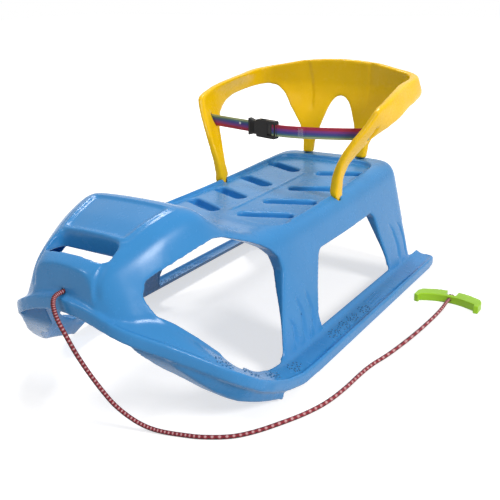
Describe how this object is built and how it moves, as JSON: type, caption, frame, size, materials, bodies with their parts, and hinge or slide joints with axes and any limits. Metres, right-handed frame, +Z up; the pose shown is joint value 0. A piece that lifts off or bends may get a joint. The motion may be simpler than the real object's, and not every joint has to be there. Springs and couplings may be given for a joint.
{
  "type": "toddler pull sled",
  "caption": "Moulded toddler sled with upswept flanged runners, a hand slot in the hood, a lift-off backrest with a buckled lap belt, and a pull cord with a grip.",
  "frame": {"origin": "centre of the footprint of the sled on the ground, the cord and its grip not counted", "axes": "+Z up, -Y towards the nose, +Y towards the rear, +X towards the side where the cord's grip lies; X = 0 is the sled's middle plane"},
  "size_m": [0.5548, 0.8139, 0.3952],
  "materials": {
    "sled_body": "smooth moulded plastic",
    "backrest": "smooth moulded plastic",
    "belt_far": "striped woven webbing",
    "belt_near": "striped woven webbing",
    "belt_tail": "striped woven webbing",
    "belt_rivet": "plain",
    "buckle_plug": "satin moulded plastic",
    "buckle_prong_upper": "satin moulded plastic",
    "buckle_prong_lower": "satin moulded plastic",
    "buckle_socket": "satin moulded plastic",
    "pull_cord": "braided two-colour cord",
    "cord_knot_inner": "braided two-colour cord",
    "cord_knot_handle": "braided two-colour cord",
    "pull_handle": "satin moulded plastic"
  },
  "bodies": {
    "sled": {"sled_body": "sled_body", "pull_cord": "pull_cord", "cord_knot_inner": "cord_knot_inner", "cord_knot_handle": "cord_knot_handle", "pull_handle": "pull_handle"},
    "seat_back": {"backrest": "backrest", "belt_near": "belt_near", "belt_tail": "belt_tail", "buckle_socket": "buckle_socket"},
    "plug": {"belt_far": "belt_far", "belt_rivet": "belt_rivet", "buckle_plug": "buckle_plug"},
    "prong_upper": {"buckle_prong_upper": "buckle_prong_upper"},
    "prong_lower": {"buckle_prong_lower": "buckle_prong_lower"}
  },
  "joints": [
    {"name": "backrest_lift", "type": "slide", "parent": "sled", "child": "seat_back", "axis": [0, 0, 1], "range_m": [0, 0.06]},
    {"name": "buckle_release", "type": "slide", "parent": "seat_back", "child": "plug", "axis": [-0.9886, 0.1486, 0.0226], "range_m": [0, 0.024]},
    {"name": "prong_upper_squeeze", "type": "hinge", "parent": "plug", "child": "prong_upper", "pos_m": [-0.04728, 0.14036, 0.30782], "axis": [0.1487, 0.9889, 0], "range_deg": [0, 6], "stiffness_Nm_per_rad": 0.5},
    {"name": "prong_lower_squeeze", "type": "hinge", "parent": "plug", "child": "prong_lower", "pos_m": [-0.04774, 0.14042, 0.28713], "axis": [0.1487, 0.9889, 0], "range_deg": [-6, 0], "stiffness_Nm_per_rad": 0.5}
  ],
  "couplings": [
    {"joint": "prong_lower_squeeze", "follows": "prong_upper_squeeze", "ratio": -1}
  ]
}
